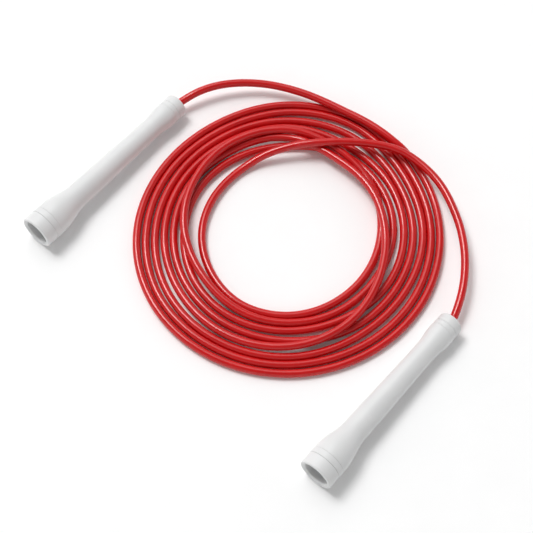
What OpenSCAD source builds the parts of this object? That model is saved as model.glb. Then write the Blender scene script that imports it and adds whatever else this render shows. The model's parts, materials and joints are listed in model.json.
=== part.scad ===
// Jump rope: two hollow moulded handles that spin freely on a round solid cord, laid down with
// the cord wound into a flat coil between them. Millimetres, +Z up, standing surface at Z = 0.
// The origin is the middle of the box round the two handles, on the standing surface.
// Each handle is drawn along its own +Z axis, butt face at 0, and is then laid on its side.

/* [Handle] */
// Length of a handle from the butt face to the mouth
handle_len = 135; // [130:1:145]
// Largest radius of the flared butt
butt_r = 11.5; // [11.3:0.1:12]
// Radius of the grip in front of the butt's flare, where its long taper starts
hold_r = 8.1; // [7.8:0.1:8.5]
// Radius of the slim neck at the end of the taper
neck_r = 7.1; // [7:0.1:7.6]
// Radius of the flare at the mouth end
nose_r = 8.4; // [8.3:0.05:9]
// Length of the end cap that shows in front of the grip
cap_len = 10; // [9:0.5:11]
// Radius of the end cap
cap_r = 8.2; // [7.9:0.05:8.3]

/* [Butt] */
// Radius of the open socket in the butt
socket_r = 8.6; // [8.2:0.1:8.8]
// Depth of the socket's straight wall, from the butt face
socket_len = 16; // [14:1:18]
// Distance from the butt face to the trim ring's seat
ring_start = 8.4; // [7:0.2:9]
// Width of the trim ring's seat
ring_seat_len = 4.4; // [3:0.2:6]
// How far the trim ring stands proud of the grip
ring_proud = 0.1; // [0.05:0.05:0.3]

/* [Inside] */
// Radius of the tunnel through the grip
tunnel_r = 5.4; // [5.2:0.1:5.6]
// Length of the end cap's spigot inside the grip
spigot_len = 11; // [10:1:12]
// Radial clearance between the cord and the bush it turns in
bush_clearance = 0.08; // [0.05:0.01:0.1]
// Gap on each side of the loose washer
washer_gap = 0.4; // [0.3:0.05:0.6]
// Length of the clamp that stops the cord
clamp_len = 10; // [8:1:12]

/* [Cord] */
// Diameter of the cord
cord_d = 5.3; // [4.8:0.1:5.5]
// Number of cord diameters stacked in the coil's height
coil_layers = 3; // [2:1:3]

/* [Layout] */
// Heading of the left handle, measured from +X
left_heading = 48.8; // [48:0.1:50]
// Heading of the right handle, measured from +X
right_heading = 49.3; // [48:0.1:50]
// Distance between the two handles along X
spread_x = 178; // [176:1:180]
// Distance between the two handles along Y
spread_y = 163; // [161:1:165]

/* [Hidden] */
LEFT = 0;
RIGHT = 1;
round_fn = 96;

// Stations along a handle.
grip_end = handle_len - cap_len;
cap_back = grip_end - spigot_len;
flange_len = 1.6;
washer_len = 0.8;
flange_back = cap_back - flange_len;
washer_back = flange_back - washer_gap - washer_len;
clamp_front = washer_back - washer_gap;
clamp_back = clamp_front - clamp_len;
tip_len = 6;
tip_gap = 2;
tip_front = clamp_back - tip_gap;
tip_back = tip_front - tip_len;
cord_stop = tip_back + tip_len / 2;
cord_front = grip_end + 2;
ring_end = ring_start + ring_seat_len;

// Radii that follow from the sizes above.
cord_r = cord_d / 2;
spigot_r = tunnel_r + 0.9;
ring_seat_r = butt_r - 0.5;
ring_r = butt_r + ring_proud;
flange_r = tunnel_r - 0.4;
washer_r = tunnel_r - 0.6;
clamp_r = tunnel_r - 0.7;
tip_r = cord_r + 0.7;
mouth_r = cord_r + 1.3;
sleeve_r = mouth_r + 0.2;
edge_r = 0.9;
mouth_edge_r = 1.8;
line_w = 0.5;
line_depth = 0.35;
seam = 0.15;

// A handle lies on its trim ring and on the rim of its flared front end.
tilt = atan((ring_r - nose_r) / (grip_end - ring_end));
butt_height = ring_r * cos(tilt) + ring_end * sin(tilt);

// The handles' places put the middle of their common box at the origin. A handle's box runs from
// the round edge of its butt to the round edge of its mouth.
function near_reach(along, across) = edge_r * along - (butt_r - edge_r) * across - edge_r;
function far_reach(along, across) =
    (handle_len - mouth_edge_r) * along + (cap_r - mouth_edge_r) * across + mouth_edge_r;
headings = [left_heading, right_heading];
axis_dirs = [for (a = headings) [cos(tilt) * cos(a), cos(tilt) * sin(a), -sin(tilt)]];
west = near_reach(axis_dirs[LEFT].x, sin(left_heading));
east = far_reach(axis_dirs[RIGHT].x, sin(right_heading));
south = near_reach(axis_dirs[RIGHT].y, cos(right_heading));
north = far_reach(axis_dirs[LEFT].y, cos(left_heading));
mid_x = (west + east) / 2;
mid_y = (south + north) / 2;
butt_at = [[-spread_x / 2 - mid_x, spread_y / 2 - mid_y, butt_height],
           [spread_x / 2 - mid_x, -spread_y / 2 - mid_y, butt_height]];

// The coil's outer shape.
coil_at = [31.8, 37.5, 0];
coil_inner_r = 53.5;
coil_outer_r = 103.5;
coil_h = coil_layers * cord_d;
coil_edge_r = 2;

// Hand-chosen points of the two loose stretches, from each mouth to the coil.
left_points = [[-38, 136.8, 8.7], [-30, 141.4, 10], [-21, 145.2, 10.6], [-11, 147.9, 10.6],
               [0, 149.4, 10.1], [12, 149.4, 9.5], [24, 147.8, 8.9], [36, 144.5, 8.6], [48, 139.8, 8.3],
               [59, 134.2, 8.1]];
right_points = [[137.6, -21.5, 8.9], [140.7, -12.5, 9.8], [143, -3, 10.6], [144.4, 7, 11.1],
                [144.9, 17, 11.5], [144.3, 28, 11.8], [142.6, 39, 12.1], [139.6, 50, 12.3],
                [135.6, 61, 12.5], [129.8, 72, 12.6], [122, 81.7, 12.7]];
tube_sides = 8;
steps_per_span = 2;

function on_axis(side, z) = butt_at[side] + z * axis_dirs[side];
function lead_route(side, points) =
    concat([on_axis(side, cord_front), on_axis(side, handle_len - 2)], points);

// Catmull-Rom curve through a route; the ends are extended in a straight line.
function route_at(route, i) =
    i < 0 ? 2 * route[0] - route[1]
    : i > len(route) - 1 ? 2 * route[len(route) - 1] - route[len(route) - 2]
    : route[i];
function spline(a, b, c, d, t) =
    0.5 * (2 * b + (c - a) * t + (2 * a - 5 * b + 4 * c - d) * t * t + (3 * b - a - 3 * c + d) * t * t * t);
function smooth_route(route, steps) =
    concat([for (i = [0 : len(route) - 2], k = [0 : steps - 1])
                spline(route_at(route, i - 1), route[i], route[i + 1], route_at(route, i + 2), k / steps)],
           [route[len(route) - 1]]);
function unit(v) = v / norm(v);
function ring_points(centre, dir, r, sides) =
    let (across = unit(cross([0, 0, 1], dir)), up = cross(dir, across))
    [for (k = [0 : sides - 1]) let (a = 360 * (k + 0.5) / sides)
        centre + r * (cos(a) * across + sin(a) * up)];

// Closed round tube along a list of points, with its first end face square to a direction.
module tube(points, start_dir, r, sides) {
    n = len(points);
    rings = [for (i = [0 : n - 1])
        let (dir = unit(points[min(i + 1, n - 1)] - points[max(i - 1, 0)]))
        each ring_points(points[i], i == 0 ? start_dir : dir, r, sides)];
    walls = [for (i = [0 : n - 2], k = [0 : sides - 1]) let (j = (k + 1) % sides)
        [i * sides + k, (i + 1) * sides + k, (i + 1) * sides + j, i * sides + j]];
    start_cap = [[for (k = [0 : sides - 1]) k]];
    end_cap = [[for (k = [sides - 1 : -1 : 0]) (n - 1) * sides + k]];
    polyhedron(points = rings, faces = concat(start_cap, walls, end_cap), convexity = 4);
}

// Lays a handle's piece, drawn along +Z, in its place on one side.
module laid(side) {
    translate(butt_at[side])
        rotate([0, 90 + tilt, headings[side]])
            children();
}

module disc(z0, z1, r) {
    translate([0, 0, z0]) cylinder(h = z1 - z0, r = r, $fn = round_fn);
}

module pipe(z0, z1, r_out, r_in) {
    difference() {
        disc(z0, z1, r_out);
        disc(z0 - 1, z1 + 1, r_in);
    }
}

// Outline points of an easy S-shaped step in radius between two stations.
function ease(z0, r0, z1, r1, steps = 10) =
    [for (i = [1 : steps]) [r0 + (r1 - r0) * (1 - cos(180 * i / steps)) / 2, z0 + (z1 - z0) * i / steps]];
// Outline points of a quarter-round edge about a centre, from one angle to another.
function quarter(r, z, edge, a0, a1, steps = 6) =
    [for (i = [0 : steps]) let (a = a0 + (a1 - a0) * i / steps) [r + edge * cos(a), z + edge * sin(a)]];

module grip(side) {
    flare_start = 16;
    hold_at = 38;
    neck_at = 108.5;
    nose_at = 121;
    socket_chamfer = 1.1;
    funnel_end = 36;
    outer = concat([[0, 0]], quarter(butt_r - edge_r, edge_r, edge_r, -90, 0),
                   [[butt_r, ring_start], [ring_seat_r, ring_start], [ring_seat_r, ring_end],
                    [butt_r, ring_end], [butt_r, flare_start]],
                   ease(flare_start, butt_r, hold_at, hold_r, 14),
                   ease(hold_at, hold_r, neck_at, neck_r, 16),
                   ease(neck_at, neck_r, nose_at, nose_r),
                   [[nose_r, grip_end - line_w], [nose_r - line_depth, grip_end], [0, grip_end]]);
    color([0.93, 0.93, 0.93])
        laid(side)
            difference() {
                rotate_extrude($fn = round_fn) polygon(outer);
                disc(-1, socket_len, socket_r);
                translate([0, 0, -0.01])
                    cylinder(h = socket_chamfer, r1 = socket_r + socket_chamfer, r2 = socket_r, $fn = round_fn);
                translate([0, 0, socket_len - 0.01])
                    cylinder(h = funnel_end - socket_len, r1 = socket_r, r2 = tunnel_r, $fn = round_fn);
                disc(funnel_end - 1, grip_end + 1, tunnel_r);
                disc(cap_back, grip_end + 1, spigot_r);
            }
}

module butt_ring(side) {
    color([0.97, 0.97, 0.96])
        laid(side)
            pipe(ring_start + seam, ring_end - seam, ring_r, ring_seat_r);
}

module end_cap(side) {
    line_at = handle_len - 6.5;
    face_r = cap_r - mouth_edge_r;
    outline = concat([[sleeve_r, cap_back], [spigot_r, cap_back], [spigot_r, grip_end], [cap_r, grip_end],
                      [cap_r, line_at - line_w / 2], [cap_r - line_depth, line_at], [cap_r, line_at + line_w / 2]],
                     quarter(face_r, handle_len - mouth_edge_r, mouth_edge_r, 0, 90),
                     quarter(mouth_r + 0.6, handle_len - 0.6, 0.6, 90, 180, 4),
                     [[mouth_r, handle_len - 2.4], [sleeve_r, handle_len - 2.4]]);
    color([0.9, 0.9, 0.9])
        laid(side)
            rotate_extrude($fn = round_fn) polygon(outline);
}

// Flanged sleeve, wider inside towards the mouth so that the cord can leave at an angle.
module bush(side) {
    sleeve_end = handle_len - 2.6;
    throat_r = cord_r + bush_clearance;
    color([0.75, 0.78, 0.8])
        laid(side)
            difference() {
                union() {
                    disc(flange_back, cap_back, flange_r);
                    disc(flange_back, sleeve_end, sleeve_r);
                }
                disc(flange_back - 1, sleeve_end + 1, throat_r);
                translate([0, 0, cord_front - 2])
                    cylinder(h = sleeve_end - cord_front + 2.01, r1 = throat_r, r2 = mouth_r - 0.3, $fn = round_fn);
            }
}

module washer(side) {
    hole_r = cord_r + 0.4;
    color([0.72, 0.73, 0.75])
        laid(side)
            pipe(washer_back, washer_back + washer_len, washer_r, hole_r);
}

// Split clamp that grips the cord and stops it against the washer; half is -1 or 1.
module clamp_half(side, half) {
    rib_w = 0.8;
    rib_gap = 2.6;
    latch_w = 3;
    latch_len = 4;
    laid(side)
        intersection() {
            difference() {
                union() {
                    disc(clamp_back, clamp_front, clamp_r - 0.4);
                    for (k = [0 : 3])
                        disc(clamp_back + 0.6 + k * rib_gap, clamp_back + 0.6 + k * rib_gap + rib_w, clamp_r);
                }
                disc(clamp_back - 1, clamp_front + 1, cord_r);
                if (half > 0)
                    translate([-clamp_r, -latch_w / 2, clamp_back + 3])
                        cube([0.8, latch_w, latch_len]);
            }
            translate([half > 0 ? -clamp_r - 1 : 0, -clamp_r - 1, clamp_back - 1])
                cube([clamp_r + 1, 2 * clamp_r + 2, clamp_len + 2]);
        }
}

module clamp_body(side) {
    color([0.2, 0.2, 0.22]) clamp_half(side, -1);
}

module clamp_jaw(side) {
    color([0.3, 0.3, 0.32]) clamp_half(side, 1);
}

module cord_tip(side) {
    outline = concat([[0, tip_back]], quarter(tip_r - edge_r, tip_back + edge_r, edge_r, -90, 0),
                     [[tip_r, tip_front], [cord_r, tip_front], [cord_r, cord_stop], [0, cord_stop]]);
    color([0.85, 0.85, 0.85])
        laid(side)
            rotate_extrude($fn = round_fn) polygon(outline);
}

// Straight end of the cord inside a handle, from the tip to just behind the mouth.
module cord_end(side) {
    color([0.8, 0.1, 0.13])
        laid(side)
            disc(cord_stop, cord_front, cord_r);
}

module cord_lead(side, points) {
    color([0.8, 0.1, 0.13])
        tube(smooth_route(lead_route(side, points), steps_per_span), axis_dirs[side], cord_r, tube_sides);
}

module cord_coil() {
    outline = concat(quarter(coil_inner_r + coil_edge_r, coil_edge_r, coil_edge_r, 180, 270, 4),
                     quarter(coil_outer_r - coil_edge_r, coil_edge_r, coil_edge_r, 270, 360, 4),
                     quarter(coil_outer_r - coil_edge_r, coil_h - coil_edge_r, coil_edge_r, 0, 90, 4),
                     quarter(coil_inner_r + coil_edge_r, coil_h - coil_edge_r, coil_edge_r, 90, 180, 4));
    color([0.8, 0.1, 0.13])
        translate(coil_at)
            rotate_extrude($fn = round_fn) polygon(outline);
}

cord_coil();
cord_lead(LEFT, left_points);  // left_cord_lead
cord_lead(RIGHT, right_points);  // right_cord_lead
cord_end(LEFT);  // left_cord_end
cord_end(RIGHT);  // right_cord_end
cord_tip(LEFT);  // left_cord_tip
cord_tip(RIGHT);  // right_cord_tip
clamp_body(LEFT);  // left_clamp_body
clamp_body(RIGHT);  // right_clamp_body
clamp_jaw(LEFT);  // left_clamp_jaw
clamp_jaw(RIGHT);  // right_clamp_jaw
grip(LEFT);  // left_grip
grip(RIGHT);  // right_grip
end_cap(LEFT);  // left_end_cap
end_cap(RIGHT);  // right_end_cap
butt_ring(LEFT);  // left_butt_ring
butt_ring(RIGHT);  // right_butt_ring
bush(LEFT);  // left_bush
bush(RIGHT);  // right_bush
washer(LEFT);  // left_washer
washer(RIGHT);  // right_washer
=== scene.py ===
"""Looks of the jump rope: a red cord laid in a flat coil between two white moulded handles."""
import json
import math

import bpy
import numpy as np
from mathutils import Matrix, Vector


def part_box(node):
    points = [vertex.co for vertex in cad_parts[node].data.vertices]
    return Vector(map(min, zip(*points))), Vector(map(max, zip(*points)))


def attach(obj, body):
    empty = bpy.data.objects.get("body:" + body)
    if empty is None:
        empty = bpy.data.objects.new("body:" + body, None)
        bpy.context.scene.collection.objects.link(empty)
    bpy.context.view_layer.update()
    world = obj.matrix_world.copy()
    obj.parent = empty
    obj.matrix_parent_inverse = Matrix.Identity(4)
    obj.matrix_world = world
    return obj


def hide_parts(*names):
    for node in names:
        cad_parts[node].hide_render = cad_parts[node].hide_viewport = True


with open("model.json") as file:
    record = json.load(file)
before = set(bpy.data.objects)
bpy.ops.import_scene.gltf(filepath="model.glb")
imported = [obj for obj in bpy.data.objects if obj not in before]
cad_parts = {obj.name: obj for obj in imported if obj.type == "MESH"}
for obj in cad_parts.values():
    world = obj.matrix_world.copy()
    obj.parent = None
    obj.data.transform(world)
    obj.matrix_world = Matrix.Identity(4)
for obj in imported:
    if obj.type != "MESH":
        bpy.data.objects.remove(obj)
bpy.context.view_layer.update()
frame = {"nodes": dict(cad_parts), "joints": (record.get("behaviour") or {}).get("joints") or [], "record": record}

MM = 0.001
CORD_D = 5.3 * MM
CORD_R = CORD_D / 2
POINT_STEP = 3 * MM
SIDES = ("left", "right")

# The two loose stretches, from each mouth to the coil, in metres: the same points as in the CAD source.
LEFT_LEAD = [
    (-0.038, 0.1368, 0.0087), (-0.030, 0.1414, 0.010), (-0.021, 0.1452, 0.0106), (-0.011, 0.1479, 0.0106),
    (0, 0.1494, 0.0101), (0.012, 0.1494, 0.0095), (0.024, 0.1478, 0.0089), (0.036, 0.1445, 0.0086),
    (0.048, 0.1398, 0.0083), (0.059, 0.1342, 0.0081)]
RIGHT_LEAD = [
    (0.1376, -0.0215, 0.0089), (0.1407, -0.0125, 0.0098), (0.143, -0.003, 0.0106), (0.1444, 0.007, 0.0111),
    (0.1449, 0.017, 0.0115), (0.1443, 0.028, 0.0118), (0.1426, 0.039, 0.0121), (0.1396, 0.05, 0.0123),
    (0.1356, 0.061, 0.0125), (0.1298, 0.072, 0.0126), (0.122, 0.0817, 0.0127)]
# Where the left lead settles into its lane, and where the cord climbs over the coil to the right lead:
# angle round the coil in degrees, distance from its middle and height, in metres.
LANDING = [(67, 0.0981, 0.0079), (58, 0.0971, 0.0078), (49, 0.0969, 0.0074), (41, 0.0975, 0.006),
           (35, 0.0985, 0.004)]
CLIMB = [(105, 0.0585, 0.0062), (92, 0.06, 0.0096), (82, 0.0623, 0.0115), (73, 0.0651, 0.0128),
         (60, 0.0726, 0.0133), (48, 0.083, 0.0131), (37.5, 0.0933, 0.0128)]

# The coil is wound clockwise from the left lead, and every turn starts at this angle.
TURN_START = 60
# How far out each turn lies, in millimetres, at twelve even steps round the coil; the last one stops
# where the climb begins.
TURNS = [
    [100, 99, 99, 99, 99, 99.5, 100.5, 100.5, 99, 96.5, 96, 98.5],
    [98, 93.5, 93, 93, 93, 93.5, 94.5, 95, 93, 91, 90, 92.5],
    [93, 88.5, 88, 86, 86, 88.5, 89.5, 89, 87, 85, 84.5, 85.5],
    [85, 82, 81.5, 80, 79.3, 77.5, 77, 76, 75, 74, 72, 70.5],
    [62, 61.5, 62.5, 67.5, 76.5, 82.5, 83.5, 82, 81, 80, 80, 80.5],
    [77, 76.5, 75.5, 74, 71.2, 70.5, 71, 70, 68, 67.5, 66, 66],
    [69.5, 70, 68.5, 65.5, 65, 65, 65, 64.5, 68, 71.5, 74.5, 73.5],
    [68.5, 64.5, 60.5, 58.5, 58.5, 60, 60.5, 58, 56.5, 55.5, 57]]
# Stretches of the coil that lie over other turns, as turns from the coil's start, and how much of a turn
# the cord takes to climb on to them.
OVER = [(3.96, 4.4), (6.6, 7.05)]
CLIMB_TURN = 0.05


def natural_spline(knots, step):
    """Points a step apart on the natural cubic spline through the knots, and each knot's place along it."""
    at_knot = np.concatenate([[0], np.cumsum(np.linalg.norm(np.diff(knots, axis=0), axis=1))])
    gap = np.diff(at_knot)
    system = np.eye(len(knots))
    right = np.zeros_like(knots)
    for i in range(1, len(knots) - 1):
        system[i, i - 1:i + 2] = gap[i - 1], 2 * (gap[i - 1] + gap[i]), gap[i]
        right[i] = 6 * ((knots[i + 1] - knots[i]) / gap[i] - (knots[i] - knots[i - 1]) / gap[i - 1])
    curve = np.linalg.solve(system, right)
    at = np.linspace(0, at_knot[-1], round(at_knot[-1] / step) + 1)
    i = np.clip(np.searchsorted(at_knot, at, "right") - 1, 0, len(gap) - 1)
    before = (at - at_knot[i])[:, None]
    after = (at_knot[i + 1] - at)[:, None]
    gap = gap[i][:, None]
    points = (curve[i] * after ** 3 + curve[i + 1] * before ** 3) / (6 * gap)
    points += (knots[i] / gap - curve[i] * gap / 6) * after
    points += (knots[i + 1] / gap - curve[i + 1] * gap / 6) * before
    return points, at_knot


def round_coil(centre, angle, radius, height):
    """The point at that angle, in degrees, and distance round the coil's middle."""
    a = math.radians(angle)
    return (centre.x + radius * math.cos(a), centre.y + radius * math.sin(a), height)


def cord_route(mouths, axes):
    """The route from mouth to mouth as even points, before the cord has settled, and the heights that
    the cord keeps by its own set."""
    low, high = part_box("cord_coil")
    centre = (low + high) / 2
    steps = len(TURNS[0])
    # Inside each handle the cord runs straight along the handle's axis, from 7 mm deep.
    inside = [[mouths[s] - axes[s] * depth * MM for depth in (7, 4.5, 2)] for s in SIDES]
    knots = inside[0] + LEFT_LEAD + [round_coil(centre, *p) for p in LANDING]
    first = len(knots)
    sweep = []
    for turn, radii in enumerate(TURNS):
        for i, radius in enumerate(radii):
            if turn or i:
                knots.append(round_coil(centre, TURN_START - i * 360 / steps, radius * MM, CORD_R))
                sweep.append(turn + i / steps)
    last = len(knots)
    knots += [round_coil(centre, *p) for p in CLIMB] + RIGHT_LEAD[::-1] + inside[1][::-1]
    line, at_knot = natural_spline(np.array([tuple(k) for k in knots]), POINT_STEP)
    along = np.linspace(0, at_knot[-1], len(line))
    turns = np.interp(along, at_knot[first:last], sweep, left=-1, right=len(TURNS) + 1)
    rest = line[:, 2].copy()
    for start, end in OVER:
        lift = np.clip((turns - start) / CLIMB_TURN, 0, 1) * np.clip((end - turns) / CLIMB_TURN, 0, 1)
        line[:, 2] += CORD_D * lift
    return line, rest


def settle(line, rest, ends, rounds=160, presses=8):
    """Lets the cord come to rest: it sinks, keeps its stiffness, lies on the floor, and lies on itself
    a diameter apart. The points at its two ends are held. Heights bend far more stiffly than the plan,
    where friction holds each stretch near its place."""
    upright, flat = 400.0, 40.0  # stiffness of the heights, and of the plan
    sink = 0.01 * MM  # how far the cord falls in a round
    slide = 0.9  # the share of its sideways shift that a point keeps in a round
    reach = 1.6 * CORD_D  # points closer than this are tried for contact
    search_every = 8  # rounds between two searches for such points
    next_door = 8  # points this near along the cord are its own bend, and no contact
    overshoot = 1.3  # a press clears this much of each overlap, so that contacts settle sooner
    hold = 1e4  # stiffness of the held ends
    count = len(line)
    held = np.zeros(count)
    held[:ends] = held[-ends:] = 1
    second = np.diff(np.eye(count), 2, axis=0)
    bending = second.T @ second
    pins = np.diag(held * hold)
    bend_heights = np.linalg.inv(np.eye(count) + upright * bending + pins)
    bend_plan = np.linalg.inv(np.eye(count) + flat * bending + pins)
    home = line.copy()
    x = line.copy()
    for n in range(rounds):
        if n % search_every == 0:
            apart = np.linalg.norm(x[:, None] - x[None], axis=2)
            i, j = np.where(apart < reach)
            i, j = i[j - i > next_door], j[j - i > next_door]
        x[:, 2] = rest + bend_heights @ (x[:, 2] - rest - sink)
        x[:, :2] = home[:, :2] + bend_plan @ ((x[:, :2] - home[:, :2]) * slide)
        ahead = np.gradient(x, axis=0)
        ahead /= np.linalg.norm(ahead, axis=1)[:, None]
        for _ in range(presses):
            away = x[i] - x[j]
            along = (away * ahead[j]).sum(1)
            away -= along[:, None] * ahead[j]
            gap = np.linalg.norm(away, axis=1)
            hit = (gap < CORD_D) & (np.abs(along) < POINT_STEP * 2 / 3)
            a, b = i[hit], j[hit]
            push = away[hit] * ((CORD_D - gap[hit]) / gap[hit])[:, None] / 2
            contacts = np.bincount(np.concatenate([a, b]), minlength=count)
            share = overshoot / np.maximum(contacts, 1) * (1 - held)
            for k in range(3):
                x[:, k] += share * (np.bincount(a, push[:, k], count) - np.bincount(b, push[:, k], count))
            x[:, 2] = np.where(held > 0, x[:, 2], np.maximum(x[:, 2], CORD_R))
    return x


def tube(name, line, radius, sides=20):
    """A round closed tube along a line, with its length and girth as a UV map in metres."""
    ahead = np.gradient(line, axis=0)
    ahead /= np.linalg.norm(ahead, axis=1)[:, None]
    across = np.cross((0.0, 0.0, 1.0), ahead)
    across /= np.linalg.norm(across, axis=1)[:, None]
    up = np.cross(ahead, across)
    turn = np.linspace(0, 2 * math.pi, sides, endpoint=False)[None, :, None]
    rings = line[:, None] + radius * (np.cos(turn) * across[:, None] + np.sin(turn) * up[:, None])
    faces = [
        (i * sides + k, i * sides + (k + 1) % sides, (i + 1) * sides + (k + 1) % sides, (i + 1) * sides + k)
        for i in range(len(line) - 1) for k in range(sides)]
    caps = [tuple(range(sides - 1, -1, -1)), tuple((len(line) - 1) * sides + k for k in range(sides))]
    mesh = bpy.data.meshes.new(name)
    mesh.from_pydata(rings.reshape(-1, 3).tolist(), [], faces + caps)
    mesh.shade_smooth()
    along = np.concatenate([[0], np.cumsum(np.linalg.norm(np.diff(line, axis=0), axis=1))])
    girth = 2 * math.pi * radius / sides
    uv = mesh.uv_layers.new(name="cord_length")
    for n, (i, k) in enumerate((i, k) for i in range(len(line) - 1) for k in range(sides)):
        corners = [(i, k), (i, k + 1), (i + 1, k + 1), (i + 1, k)]
        for c, (ring, place) in enumerate(corners):
            uv.data[4 * n + c].uv = (place * girth, along[ring])
    piece = bpy.data.objects.new(name, mesh)
    bpy.context.scene.collection.objects.link(piece)
    return piece


def make_camera():
    """A long lens looking down at the rope from the front, at the photograph's angle."""
    elevation, distance, target = math.radians(63.5), 0.93, Vector((0.0175, 0.0139, 0))
    back = Vector((0, -math.cos(elevation), math.sin(elevation)))
    data = bpy.data.cameras.new("camera")
    data.lens = 96.9
    data.sensor_width = 36
    camera = bpy.data.objects.new("camera", data)
    camera.location = target + back * distance
    camera.rotation_euler = (-back).to_track_quat("-Z", "Y").to_euler()
    bpy.context.scene.collection.objects.link(camera)
    bpy.context.scene.camera = camera


def make_floor():
    half = 3.0
    mesh = bpy.data.meshes.new("floor")
    corners = [(-half, -half, 0), (half, -half, 0), (half, half, 0), (-half, half, 0)]
    mesh.from_pydata(corners, [], [(0, 1, 2, 3)])
    floor = bpy.data.objects.new("floor", mesh)
    bpy.context.scene.collection.objects.link(floor)
    floor.data.materials.append(floor_material())


def area_light(name, place, target, size, power):
    data = bpy.data.lights.new(name, "AREA")
    data.shape = "DISK"
    data.size = size
    data.energy = power
    light = bpy.data.objects.new(name, data)
    light.location = place
    light.rotation_euler = (Vector(target) - Vector(place)).to_track_quat("-Z", "Y").to_euler()
    bpy.context.scene.collection.objects.link(light)


def make_lights():
    """A white room with a broad soft glow behind the rope, and one large soft light at the upper left."""
    world = bpy.data.worlds.new("studio")
    world.use_nodes = True
    nodes, links = world.node_tree.nodes, world.node_tree.links
    toward = nodes.new("ShaderNodeTexCoord").outputs["Generated"]
    height = nodes.new("ShaderNodeSeparateXYZ")
    links.new(toward, height.inputs[0])
    glow = nodes.new("ShaderNodeVectorMath")
    glow.operation = "DOT_PRODUCT"
    links.new(toward, glow.inputs[0])
    glow.inputs[1].default_value = (-0.25, 0.5, 0.83)
    both = nodes.new("ShaderNodeMath")
    for i, (value, low, high, at_low, at_high) in enumerate((
            (height.outputs["Z"], 0.3, 0.85, 0.74, 0.2), (glow.outputs["Value"], 0.86, 0.99, 0, 2.1))):
        part = nodes.new("ShaderNodeMapRange")
        part.interpolation_type = "SMOOTHSTEP"
        for name, number in {"From Min": low, "From Max": high, "To Min": at_low, "To Max": at_high}.items():
            part.inputs[name].default_value = number
        links.new(value, part.inputs["Value"])
        links.new(part.outputs["Result"], both.inputs[i])
    links.new(both.outputs[0], nodes["Background"].inputs["Strength"])
    nodes["Background"].inputs["Color"].default_value = (1, 1, 1, 1)
    bpy.context.scene.world = world
    area_light("key", (-1.55, 1.4, 3.95), (0, 0, 0), 1.7, 92)
    bpy.context.scene.view_settings.view_transform = "Standard"


class Shader:
    """A Principled material, with short calls for the nodes that vary it."""

    def __init__(self, name):
        self.material = bpy.data.materials.new(name)
        self.material.use_nodes = True
        self.nodes = self.material.node_tree.nodes
        self.links = self.material.node_tree.links
        self.surface = self.nodes["Principled BSDF"]

    def set(self, **values):
        for name, value in values.items():
            self.surface.inputs[name.replace("_", " ")].default_value = value
        return self

    def add(self, kind, **inputs):
        node = self.nodes.new(kind)
        for name, value in inputs.items():
            socket = node.inputs[name.replace("_", " ")]
            if isinstance(value, bpy.types.NodeSocket):
                self.links.new(value, socket)
            else:
                socket.default_value = value
        return node

    def place(self, output="Object"):
        return self.add("ShaderNodeTexCoord").outputs[output]

    def stretch(self, vector, scale):
        return self.add("ShaderNodeMapping", Vector=vector, Scale=scale).outputs["Vector"]

    def noise(self, vector, scale, detail=4.0, roughness=0.55):
        return self.add("ShaderNodeTexNoise", Vector=vector, Scale=scale, Detail=detail,
                        Roughness=roughness).outputs["Fac"]

    def ramp(self, value, low, high, start=0.3, end=0.7):
        """Colours from low to high as the value goes from start to end."""
        node = self.add("ShaderNodeValToRGB", Fac=value)
        first, last = node.color_ramp.elements
        first.position, last.position = start, end
        first.color, last.color = (*low, 1), (*high, 1)
        return node.outputs["Color"]

    def span(self, value, low, high, start=0.3, end=0.7):
        return self.add("ShaderNodeMapRange", Value=value, From_Min=start, From_Max=end, To_Min=low,
                        To_Max=high).outputs["Result"]

    def bump(self, height, distance, strength=1.0, normal=None):
        extra = {} if normal is None else {"Normal": normal}
        return self.add("ShaderNodeBump", Height=height, Distance=distance, Strength=strength,
                        **extra).outputs["Normal"]

    def drive(self, **sockets):
        for name, socket in sockets.items():
            self.links.new(socket, self.surface.inputs[name.replace("_", " ")])
        return self


def floor_material():
    # The floor glows faintly of its own: painted light, which evenly lifts the floor and the shadows cast on it.
    m = Shader("studio_floor").set(Roughness=0.9, Specular_IOR_Level=0.1, Emission_Color=(1, 1, 1, 1),
                                   Emission_Strength=0.015)
    grain = m.noise(m.place(), 40)
    m.drive(Base_Color=m.ramp(grain, (0.96, 0.96, 0.96), (0.975, 0.975, 0.975)))
    return m.material


def cord_material():
    """Glossy solid PVC: red right through, with faint die lines along it and slight waves in its gloss."""
    m = Shader("red_pvc").set(Specular_IOR_Level=0.5, IOR=1.53, Subsurface_Weight=0.03,
                              Subsurface_Radius=(1.0, 0.12, 0.08), Subsurface_Scale=0.001)
    uv = m.place("UV")
    blotches = m.noise(m.place(), 60, detail=3)
    m.drive(Base_Color=m.ramp(blotches, (0.53, 0.004, 0.005), (0.60, 0.006, 0.007)))
    die_lines = m.noise(m.stretch(uv, (2600, 14, 1)), 1.0, detail=2)
    waves = m.noise(m.stretch(uv, (160, 90, 1)), 1.0, detail=2)
    m.drive(Roughness=m.span(waves, 0.12, 0.18))
    fine = m.bump(die_lines, 0.00003, 0.5)
    m.drive(Normal=m.bump(waves, 0.00012, 0.5, fine))
    return m.material


def white_plastic():
    """Satin white moulded plastic with a fine eroded texture and faint flow marks."""
    m = Shader("white_plastic").set(Specular_IOR_Level=0.5, IOR=1.5, Subsurface_Weight=0.15,
                                    Subsurface_Radius=(1.0, 0.95, 0.9), Subsurface_Scale=0.0015)
    place = m.place()
    flow = m.noise(place, 45, detail=3)
    m.drive(Base_Color=m.ramp(flow, (0.705, 0.71, 0.71), (0.745, 0.745, 0.745)))
    m.drive(Roughness=m.span(m.noise(place, 140), 0.40, 0.52))
    grain = m.bump(m.noise(place, 3500, detail=2), 0.00003, 0.6)
    m.drive(Normal=m.bump(m.noise(place, 300, detail=2), 0.00005, 0.3, grain))
    return m.material


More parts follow.
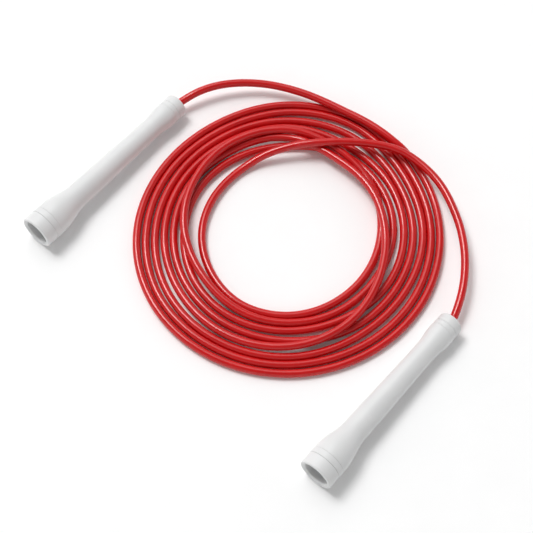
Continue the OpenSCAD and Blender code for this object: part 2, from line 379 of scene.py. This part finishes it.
def nylon():
    """Natural nylon, a little waxy."""
    m = Shader("natural_nylon").set(Subsurface_Weight=0.3, Subsurface_Radius=(1.0, 0.9, 0.7),
                                    Subsurface_Scale=0.001)
    place = m.place()
    m.drive(Base_Color=m.ramp(m.noise(place, 400), (0.62, 0.60, 0.54), (0.72, 0.70, 0.64)))
    m.drive(Roughness=m.span(m.noise(place, 900), 0.30, 0.45))
    m.drive(Normal=m.bump(m.noise(place, 2500), 0.00002, 0.5))
    return m.material


def black_nylon():
    """Black moulded nylon of the clamps."""
    m = Shader("black_nylon")
    place = m.place()
    m.drive(Base_Color=m.ramp(m.noise(place, 500), (0.015, 0.015, 0.017), (0.03, 0.03, 0.033)))
    m.drive(Roughness=m.span(m.noise(place, 1200), 0.4, 0.6))
    m.drive(Normal=m.bump(m.noise(place, 3000), 0.00003, 0.6))
    return m.material


def metal(name, dark, light, rough):
    """Stamped or crimped metal with fine scratches."""
    m = Shader(name).set(Metallic=1.0)
    place = m.place()
    scratches = m.noise(m.stretch(place, (400, 400, 6000)), 1.0, detail=3)
    m.drive(Base_Color=m.ramp(m.noise(place, 700), dark, light))
    m.drive(Roughness=m.span(scratches, rough - 0.06, rough + 0.1))
    m.drive(Normal=m.bump(scratches, 0.00001, 0.5))
    return m.material


def paint_nodes():
    """Gives every CAD node the material of its slot."""
    looks = {
        "cord": cord_material(), "handle": white_plastic(), "bush": nylon(), "clamp": black_nylon(),
        "washer": metal("zinc_plate", (0.55, 0.56, 0.58), (0.68, 0.69, 0.70), 0.3),
        "tip": metal("aluminium_sleeve", (0.70, 0.70, 0.71), (0.80, 0.80, 0.81), 0.35)}
    slots = {part["node"]: part["material_slot"] for part in frame["record"]["subparts"]}
    for name, node in frame["nodes"].items():
        node.data.materials.clear()
        node.data.materials.append(looks[slots[name]])
    return looks


def make_cord(material):
    joints = {j["name"]: j for j in frame["joints"]}
    axes = {s: Vector(joints[f"{s}_handle_spin"]["axis"]).normalized() for s in SIDES}
    mouths = {s: Vector(joints[f"{s}_handle_spin"]["pos_m"]) for s in SIDES}
    line = settle(*cord_route(mouths, axes), ends=3)
    cord = tube("cord", line, CORD_R)
    cord.data.materials.append(material)
    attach(cord, "cord")
    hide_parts("cord_coil", "left_cord_lead", "right_cord_lead")


make_camera()
looks = paint_nodes()
make_cord(looks["cord"])
make_floor()
make_lights()
